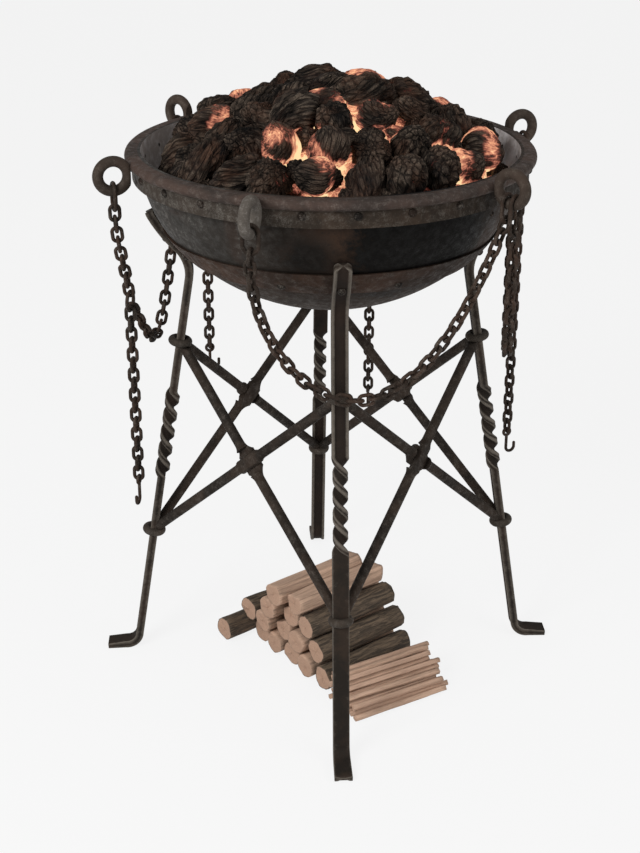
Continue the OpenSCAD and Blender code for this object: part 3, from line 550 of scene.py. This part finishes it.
def ring_of_lumps(down, path, radius, gap, turn):
    """As many lumps as fit side by side in a ring on the heap's sphere: each one's angle
    down from the top, angle round, distance from the sphere's middle, and radius."""
    ring = path * math.sin(down)
    number = int(math.pi / math.asin((radius + gap) / ring)) if down > 0 else 1
    about = (np.arange(number) + turn) * 2 * math.pi / number
    return np.stack([0 * about + down, about, 0 * about + path, 0 * about + radius], -1)


def charred(centres, halves, frames, rough, seed, around, down):
    """Billets as ovals: at longitude a and latitude b the radius is the oval's, raised by
    rounded strands that run from pole to pole and wind with b, as strong as rough says,
    and by lumps of smooth noise. Also gives the relief and the place in a unit ball that
    winds with the strands, drawn out along them."""
    b = np.linspace(0, np.pi, down + 2)[1:-1]
    aa, bb = np.meshgrid(np.arange(around) * 2 * np.pi / around, b)
    aa, bb = np.append(aa.ravel(), [0, 0]), np.append(bb.ravel(), [0, np.pi])
    ball = np.stack([np.sin(bb) * np.cos(aa), np.sin(bb) * np.sin(aa), np.cos(bb)], -1)
    dice = np.random.default_rng(seed)
    count = len(centres)
    strands = dice.integers(9, 15, count)[:, None]
    wind = dice.uniform(-1.5, 1.5, count)[:, None]
    shift = dice.uniform(-9, 9, (count, 1, 3))
    lumps = waves(ball + shift, 1.9, 10, seed + 1)
    wander = waves(ball + shift, 0.9, 12, seed + 2)
    wound = aa + wind * np.cos(bb)
    strand = np.abs(np.sin((strands * wound + 2.4 * wander) / 2)) ** 0.6
    strand = strand * (1 + 0.5 * waves(ball + shift, 0.5, 12, seed + 3))
    relief = (0.21 * strand - 0.13) * np.sin(bb) ** 0.5 * rough[:, None] + 0.15 * lumps
    local = ball * (1 + relief)[..., None] * halves[:, None, :]
    taper = dice.uniform(-0.28, 0.28, count)[:, None]
    local[..., :2] *= (1 + taper * np.cos(bb))[..., None]
    points = np.einsum("nij,npj->npi", frames, local) + centres[:, None, :]
    lengthwise = np.broadcast_to(0.32 * np.cos(bb), wound.shape)
    drawn = np.stack([np.sin(bb) * np.cos(wound), np.sin(bb) * np.sin(wound), lengthwise], -1)
    return points, relief, drawn + shift


chance = np.random.default_rng(7)
row_turn = 2 * math.asin((lump_r + lump_gap / 2) / lump_path)
main = [ring_of_lumps(row * row_turn, lump_path, lump_r, lump_gap, 0.5 * (row % 2)) for row in range(5)]
edge = [ring_of_lumps(math.radians(52.2), edge_path, edge_r, lump_gap, 0)]
# Smaller ones lie in the hollows between the rows
small = [ring_of_lumps((row + 0.5) * row_turn, small_path, small_r, small_gap, 0.25) for row in range(1, 5)]
polar = np.concatenate(main + edge + small)
count = len(polar)
slope, about, path, size = polar.T
up = np.stack([np.sin(slope) * np.cos(about), np.sin(slope) * np.sin(about), np.cos(slope)], -1)
across = np.cross(up, chance.normal(size=(count, 3)))
across /= np.linalg.norm(across, axis=1)[:, None]
# Billets near the top lie flat, knobs stand on end towards the wall
lying = chance.uniform(0, 1, count) < np.where(size > edge_r, 0.85 - 0.7 * slope, 0.3)
grain = np.where(lying[:, None], across, up + 0.5 * chance.normal(size=(count, 3)))
grain /= np.linalg.norm(grain, axis=1)[:, None]
side = np.cross(up + 0.01 * chance.normal(size=(count, 3)), grain)
side /= np.linalg.norm(side, axis=1)[:, None]
frames = np.stack([side, np.cross(grain, side), grain], -1)
stretch = np.where(lying, chance.uniform(1.15, 1.85, count), chance.uniform(0.92, 1.2, count))
girth = size * chance.uniform(0.84, 1.08, count)
halves = np.stack([girth, girth * chance.uniform(0.88, 1.0, count), girth * stretch], -1)
centres = up * (path - np.where(lying, 0.002, 0.0))[:, None] + chance.normal(size=(count, 3)) * 0.0050
centres[:, 2] += heap_middle
# The heap peaks a little right of the middle and sags on the left
centres[:, 2] += 0.003 * np.exp(-((centres[:, 0] - 0.07) ** 2 + centres[:, 1] ** 2) / 0.006)
centres[:, 2] -= 0.010 * np.exp(-((centres[:, 0] + 0.13) ** 2 + centres[:, 1] ** 2) / 0.010)
around, down = 48, 28
# A billet in a hot place has burnt smooth and glows all over, and warms its neighbours
ember = np.clip(heat_at(centres) * 2.4 - 1.1, 0, 1)
billets, relief, drawn = charred(centres, halves, frames, 1 - 0.7 * ember, 11, around, down)
# None stands higher than the source's heap, and the glow is strongest deep between them
billets[..., 2] = np.minimum(billets[..., 2], cad_box[1].z - 0.0005)
depth = path[:, None] - np.linalg.norm(billets - (0, 0, heap_middle), axis=-1)
heat = heat_at(billets) * (0.50 + 0.50 * ember[:, None] + np.clip(depth / 0.030, -0.4, 0.6))
heat = np.clip(heat + 0.14 * waves(billets, 0.05, 12, 5) - 1.1 * np.clip(relief, -0.12, 0.15), 0, 1.2)

char = Finish("charred_wood")
along = char.add("Attribute", {"attribute_name": "drawn"}, out="Vector")
fibre = char.noise(5.0, 5, 0.62, at=along, twist=1.4)
# Char splits into blocks along and across the grain; the cracks between them stay hot
block = char.add("TexVoronoi", {"feature": "DISTANCE_TO_EDGE"}, {"Vector": along, "Scale": 3.6}, "Distance")
crack = block.above(0.13, 0.01)
crust = char.noise(420, 3, 0.7)
warmth = char.add("Attribute", {"attribute_name": "burning"}, out="Fac")
raised = char.add("Attribute", {"attribute_name": "relief"}, out="Fac")
wide = char.noise(60, 5, 0.7)
glow = warmth * 1.06 + (wide - 0.5) * 1.2 * warmth.above(0.05, 0.4)
glow = glow - (fibre - 0.5) * 0.9 * warmth.above(0, 0.5)
glow = glow + crack * 0.18 * warmth.above(0.12, 0.40)
# Painted shade and highlight: near black in the crevices, lighter brown on the raised strands
painted_ridge_light = (raised * 0.8 + fibre * 0.6).above(0.20, 0.42)
skin = char.mix(painted_ridge_light, (0.0035, 0.0025, 0.0020), (0.060, 0.044, 0.033))
# Pale, ashy flecks on the raised strands, which also serve as a painted highlight
ash_and_painted_light = (fibre * 0.6 + crust * 0.6 + raised * 0.5).above(0.66, 0.82)
skin = char.mix(ash_and_painted_light * 0.8, skin, (0.17, 0.132, 0.10))
# The cracks are painted near black, as shade
skin = char.mix(crack * 0.8, skin, (0.0035, 0.0025, 0.0020))
skin = char.mix(char.noise(22, 3, 0.5).above(0.52, 0.7) * 0.35, skin, (0.017, 0.0155, 0.017))
# Reddish brown near the hot places: scorching, and a painted glow from the embers
scorch_glow_noise = char.noise(16, 3, 0.55, twist=0.4)
scorch_and_painted_glow = (scorch_glow_noise + warmth * 0.5).above(0.45, 0.75) * fibre.above(0.35, 0.6)
skin = char.mix(scorch_and_painted_glow * 0.75, skin, (0.115, 0.058, 0.036))
fire = char.add("ValToRGB", None, {0: glow})
stops = fire.socket.node.color_ramp.elements
stops[0].position, stops[0].color = 0.30, (0, 0, 0, 1)
stops[1].position, stops[1].color = 1.0, (1.0, 0.74, 0.40, 1)
for at, colour in ((0.40, (0.085, 0.022, 0.016)), (0.56, (0.38, 0.125, 0.082)), (0.78, (0.80, 0.36, 0.20))):
    stops.new(at).color = (*colour, 1)
# Where the heap glows the base colour turns orange-brown: a painted glow, besides the emission
char.fill(
    base_color=char.mix(glow.above(0.4, 0.8), skin, (0.28, 0.12, 0.07)),
    roughness=0.9,
    emission_color=fire,
    normal=char.bump(fibre * 0.45 + crust * 0.2 - crack * 0.35, 0.009, 1.0),
)
char.surface.inputs["Emission Strength"].default_value = 1.0
char.surface.inputs["Specular IOR Level"].default_value = 0.12


def repeated(faces, count, step):
    """The faces of count like pieces whose points follow each other, step points each."""
    shift = (np.arange(count) * step)[:, None, None]
    return [(kind + shift).reshape(-1, kind.shape[1]) for kind in faces]


# The billets' rows run down and round against the tube's, so the faces are turned over
billet_faces = [kind[:, ::-1] for kind in tube_faces(down, around)]
for number, batch in enumerate(np.array_split(np.arange(count), 5)):
    layers = {
        "burning": heat[batch].ravel(),
        "relief": relief[batch].ravel(),
        "drawn": drawn[batch].reshape(-1, 3),
    }
    faces = repeated(billet_faces, len(batch), billets.shape[1])
    coals = surface(f"charred_billets_{number + 1}", billets[batch].reshape(-1, 3), faces, layers=layers)
    coals.data.materials.append(char.material)
    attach(coals, "stand")
    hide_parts("charcoal_lumps", "ember_lumps")

# Under the billets lies a rough bed of small coals, hottest in the same places
bed_around, bed_down = 160, 56
bed_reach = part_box("coal_bed")[1].x - 0.002
bed_turn = np.arange(bed_around) * 2 * np.pi / bed_around
ring_r, ring_a = np.meshgrid(np.linspace(0, bed_reach, bed_down + 1)[1:], bed_turn, indexing="ij")
bed_x = np.append(ring_r * np.cos(ring_a), [0, 0])
bed_y = np.append(ring_r * np.sin(ring_a), [0, 0])
flat = np.stack([bed_x, bed_y, 0 * bed_x], -1)
bed_z = heap_middle + np.sqrt((heap_radius + 0.002) ** 2 - bed_x**2 - bed_y**2)
bed_z += 0.005 * waves(flat, 0.03, 14, 21) + 0.0025 * waves(flat, 0.012, 14, 22)
# The last point closes the bed's underside, deep in the bowl
bed_z[-1] = heap_middle + 0.10
bed = np.stack([bed_x, bed_y, bed_z], -1)
bed_heat = np.clip(heat_at(bed) * 1.2 + 0.1, 0, 1.2)
# Its relief is set low everywhere, so that the painted crevice shade darkens the whole bed
floor_of_coals = surface(
    "coal_floor", bed, [kind[:, ::-1] for kind in tube_faces(bed_down, bed_around)],
    layers={"burning": bed_heat, "relief": np.full(len(bed), -0.08), "drawn": bed * 30},
)
floor_of_coals.data.materials.append(char.material)
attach(floor_of_coals, "stand")
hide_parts("coal_bed")

# ---- Firewood: logs sawn to a length and cleft with an axe, so most show long pale
# ---- split faces; a few still have their bark. They lie in rows that nest.
# Each log's row, its place along the row, how far it is pushed along, 1 where cleft
log_rows = np.array([
    (0, 0, -45, 0), (0, 1, 8, 1), (0, 2, 2, 1), (0, 3, 6, 1), (0, 4, 0, 1), (0, 5, 3, 0),
    (1, 0, -6, 0), (1, 1, -8, 1), (1, 2, 5, 1), (1, 3, -3, 1), (1, 4, 6, 0),
    (2, 1, -14, 1), (2, 2, 4, 1), (2, 3, 2, 0), (3, 1, -18, 1), (3, 2, -6, 1),
], float)
log_r, log_long, log_step, log_lift = 0.0226, 0.192, 0.0465, 0.023
first_log, log_turn, log_shift = 0.113, 35, -0.016
# Each log is this much shorter than its room in the pile, for its rough ends
end_room = 0.003


def bar_grid(around, down, rim, smallest):
    """A bar's grid of rows and angles: each point's place along the bar from 0 to 1 and
    its angle, and each row's share of the full radius, which shrinks at both ends to the
    smallest over rim rows."""
    share = np.concatenate([np.zeros(rim), np.linspace(0, 1, down), np.ones(rim)])
    grow, shrink = np.linspace(smallest, 1, rim + 1)[:-1], np.linspace(1, smallest, rim + 1)[1:]
    tt, aa = np.meshgrid(share, np.arange(around) * 2 * np.pi / around, indexing="ij")
    return tt, aa, np.concatenate([grow, np.ones(down), shrink])


def end_marks(inset, around):
    """For the grid's points and the middles of its ends: 1 on the sawn ends and 0 elsewhere,
    and the share of the full radius."""
    sawn = np.append(np.repeat(inset < 0.999, around), [True, True]).astype(float)
    return sawn, np.append(np.repeat(inset, around), [0, 0])


def turned_about_z(points, degrees):
    """Points turned about the upright axis by that many degrees."""
    c, s = math.cos(math.radians(degrees)), math.sin(math.radians(degrees))
    return points @ np.array([[c, s, 0], [-s, c, 0], [0, 0, 1]])


def logs(rows, seed, around=72, down=30, rim=6):
    """Logs along X in the pile's frame. The section's radius at the angle a is the least
    of the round trunk's and of each cleft plane's, d / cos(a - its angle), and wanders
    along the log; rings that shrink to the middle close each end."""
    dice = np.random.default_rng(seed)
    n = len(rows)
    tt, aa, inset = bar_grid(around, down, rim, 0.06)
    cleft = rows[:, 3] == 1
    plane_at = np.stack(
        [dice.normal(1.57, 0.25, n), dice.normal(3.6, 0.4, n), dice.normal(5.6, 0.5, n)], -1
    )
    plane_d = log_r * np.stack(
        [dice.uniform(0.55, 0.8, n), dice.uniform(0.75, 1.1, n), dice.uniform(0.8, 1.2, n)], -1
    )
    # The planes of a log that isn't cleft lie well outside it
    plane_d = np.where(cleft[:, None], plane_d, 3 * log_r)
    fall = np.cos(aa[None, :, :, None] - plane_at[:, None, None, :])
    planes = (plane_d[:, None, None, :] / np.clip(fall, 0.05, None)).min(-1)
    around_trunk = np.stack([np.cos(aa) * log_r, np.sin(aa) * log_r, tt * log_long * 0.35], -1)
    offset = dice.uniform(-5, 5, (n, 1, 1, 3))
    wander = waves(around_trunk + offset, 0.05, 10, seed + 1)
    trunk = log_r * (0.955 + 0.04 * wander)
    grooves = waves(around_trunk * (1, 1, 0.2) + offset, 0.009, 14, seed + 2)
    radius = np.minimum(trunk, planes)
    bark = np.clip((planes - trunk) / 0.001 + 0.5, 0, 1) * np.where(cleft, 0.35, 1.0)[:, None, None]
    radius = radius - 0.0006 + 0.0006 * grooves * (0.5 + bark) + 0.0008 * wander
    radius = radius * inset[None, :, None]
    ripple = waves(around_trunk + offset, 0.03, 8, seed + 3)
    long = (tt - 0.5) * (log_long - end_room) + 0.0012 * ripple * (np.abs(tt - 0.5) * 2)
    cy = first_log - (rows[:, 1] + rows[:, 0] / 2) * log_step
    cz = log_lift + rows[:, 0] * log_step * math.sin(math.radians(60))
    px = rows[:, 2, None, None] / 1000 + long + log_shift
    py = cy[:, None, None] + radius * np.cos(aa)
    pz = cz[:, None, None] + radius * np.sin(aa)
    points = np.stack([px, py, pz], -1).reshape(n, -1, 3)
    middles = np.stack([
        np.stack([rows[:, 2] / 1000 + side * (log_long - end_room) / 2 + log_shift, cy, cz], -1)
        for side in (-1, 1)
    ], 1)
    points = turned_about_z(np.concatenate([points, middles], 1), log_turn)
    sawn, ring = end_marks(inset, around)
    uv = np.stack([np.append(aa.ravel() / (2 * np.pi), [0, 0]), np.append(tt.ravel(), [0, 1])], -1)
    uv = uv[None] + dice.integers(0, 40, (n, 1, 1)) * 1.37
    bark = np.concatenate([bark.reshape(n, -1), np.zeros((n, 2))], 1) * (1 - sawn)
    layers = {
        "bark": bark.ravel(),
        "sawn": np.tile(sawn, n),
        "ring": np.tile(ring, n),
        "tone": np.repeat(dice.uniform(0, 1, n), points.shape[1]),
    }
    faces = repeated(tube_faces(len(inset), around), n, points.shape[1])
    return points.reshape(-1, 3), faces, uv.reshape(-1, 2), layers


wood = Finish("firewood")
bark = wood.add("Attribute", {"attribute_name": "bark"}, out="Fac")
sawn = wood.add("Attribute", {"attribute_name": "sawn"}, out="Fac")
ring = wood.add("Attribute", {"attribute_name": "ring"}, out="Fac")
tone = wood.add("Attribute", {"attribute_name": "tone"}, out="Fac")
fibre = wood.noise(1.0, 5, 0.7, at=wood.add("UVMap"), stretch=(55, 5, 1))
streak = wood.noise(1.0, 4, 0.6, at=wood.add("UVMap"), stretch=(13, 1.6, 1), twist=0.4)
fleck = wood.noise(420, 3, 0.7)
face = wood.mix(streak.above(0.38, 0.62), (0.62, 0.415, 0.295), (0.44, 0.29, 0.205))
face = wood.mix(fibre.above(0.50, 0.68) * 0.6, face, (0.17, 0.108, 0.076))
face = wood.mix(tone * 0.4, face, (0.52, 0.33, 0.235))
rings = wood.add("Math", {"operation": "SINE"}, {0: ring * 46 + streak * 9}).above(-1.0, 1.0)
end = wood.mix(rings * 0.4 + fleck.above(0.45, 0.7) * 0.3, (0.53, 0.335, 0.235), (0.33, 0.205, 0.14))
rough_bark = wood.noise(1.0, 5, 0.7, at=wood.add("UVMap"), stretch=(26, 4.5, 1), twist=0.8)
husk = wood.mix(rough_bark.above(0.42, 0.62), (0.040, 0.028, 0.018), (0.155, 0.108, 0.070))
body = wood.mix((bark + (streak - 0.5) * 1.2).above(0.25, 0.75), face, husk)
wood.fill(
    base_color=wood.mix(sawn, body, end),
    roughness=0.85,
    normal=wood.bump(fibre * (1 - bark) * 0.5 + rough_bark * bark * 1.2 + rings * sawn * 0.15, 0.003, 0.8),
)
for name, cleft_ones, node in (("cleft_firewood", 1, "split_logs"), ("bark_firewood", 0, "bark_logs")):
    points, faces, uv, layers = logs(log_rows[log_rows[:, 3] == cleft_ones], 31 + cleft_ones)
    pile = surface(name, points, faces, uv, layers)
    pile.data.materials.append(wood.material)
    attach(pile, "logs")
    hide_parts(node)

# ---- Kindling: thin sticks split off with a hatchet, uneven in section and length,
# ---- heaped beside the logs in layers, each one stick narrower than the one below.
# Sizes in metres: a stick's length and thickness, the steps from stick to stick and from
# layer to layer, and the lowest layer's middle
stick_long, stick_wide, stick_step, stick_rise, stick_lift = 0.200, 0.012, 0.0125, 0.01105, 0.0058
stick_rows, stick_layers, stick_shift, stick_uneven = 7, 5, 0.012, 0.005
heap_side, heap_turn = 0.1605, 25
layer, row = (g.ravel() for g in np.meshgrid(np.arange(stick_layers), np.arange(stick_rows), indexing="ij"))
kept = row >= layer
layer, row = layer[kept], row[kept]


def sticks(layer, row, seed, around=20, down=18, rim=3):
    """Sticks along X in the heap's frame: the section is a five-sided figure whose radius
    at the angle a is d / cos(a - its nearest side's angle), turned a little from end to
    end, and each stick is tilted and shifted slightly within its place."""
    dice = np.random.default_rng(seed)
    n = len(layer)
    tt, aa, inset = bar_grid(around, down, rim, 0.1)
    sides = np.linspace(0, 2 * np.pi, 5, endpoint=False) + dice.normal(0, 0.28, (n, 5))
    depth = stick_wide / 2 * dice.uniform(0.62, 0.98, (n, 5))
    angle = aa[None] + dice.normal(0, 0.3, (n, 1, 1)) * tt
    fall = np.cos(angle[..., None] - sides[:, None, None, :])
    radius = (depth[:, None, None, :] / np.clip(fall, 0.2, None)).min(-1)
    radius = np.minimum(radius, 0.56 * stick_wide)
    ends = dice.uniform(0.90, 1.0, (n, 1, 1)) * (stick_long - 0.002)
    long = (tt - 0.5) * ends
    spot = np.stack([long * 0.3, radius * np.cos(aa), radius * np.sin(aa)], -1)
    spot = spot + dice.uniform(-5, 5, (n, 1, 1, 3))
    radius = (radius + 0.0004 * waves(spot, 0.006, 12, seed + 1) - 0.0003) * inset[None, :, None]
    from_middle = (tt - 0.5) * 2
    sway = dice.normal(0, 0.0016, (n, 1, 1)) * from_middle + dice.normal(0, 0.0008, (n, 1, 1))
    lift = dice.uniform(-0.0008, 0.0004, (n, 1, 1)) + dice.normal(0, 0.0006, (n, 1, 1)) * from_middle
    pushed = stick_shift + stick_uneven * np.sin(np.radians(97 * row + 61 * layer))
    px = pushed[:, None, None] + long
    cy = -(heap_side + stick_wide / 2 + (stick_rows - 1 - row) * stick_step)
    py = cy[:, None, None] + radius * np.cos(aa) + sway
    pz = (stick_lift + layer * stick_rise)[:, None, None] + radius * np.sin(aa) * 0.93 + lift
    pz = np.clip(pz, 0.0002, None)
    points = np.stack([px, py, pz], -1).reshape(n, -1, 3)
    middles = points.reshape(n, len(inset), around, 3)[:, [0, -1]].mean(2)
    points = turned_about_z(np.concatenate([points, middles], 1), heap_turn)
    sawn, ring = end_marks(inset, around)
    uv = np.stack([np.append(aa.ravel() / 25, [0, 0]), np.append(tt.ravel(), [0, 1])], -1)
    uv = uv[None] + dice.integers(0, 60, (n, 1, 1)) * 0.77
    layers = {
        "bark": np.zeros(n * points.shape[1]),
        "sawn": np.tile(sawn, n) * 0.6,
        "ring": np.tile(ring, n) * 0.2,
        "tone": np.repeat(dice.uniform(0, 1, n), points.shape[1]),
    }
    faces = repeated(tube_faces(len(inset), around), n, points.shape[1])
    return points.reshape(-1, 3), faces, uv.reshape(-1, 2), layers


points, faces, uv, layers = sticks(layer, row, 51)
kindling = surface("kindling_sticks", points, faces, uv, layers)
kindling.data.materials.append(wood.material)
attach(kindling, "kindling_pile")
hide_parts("kindling")
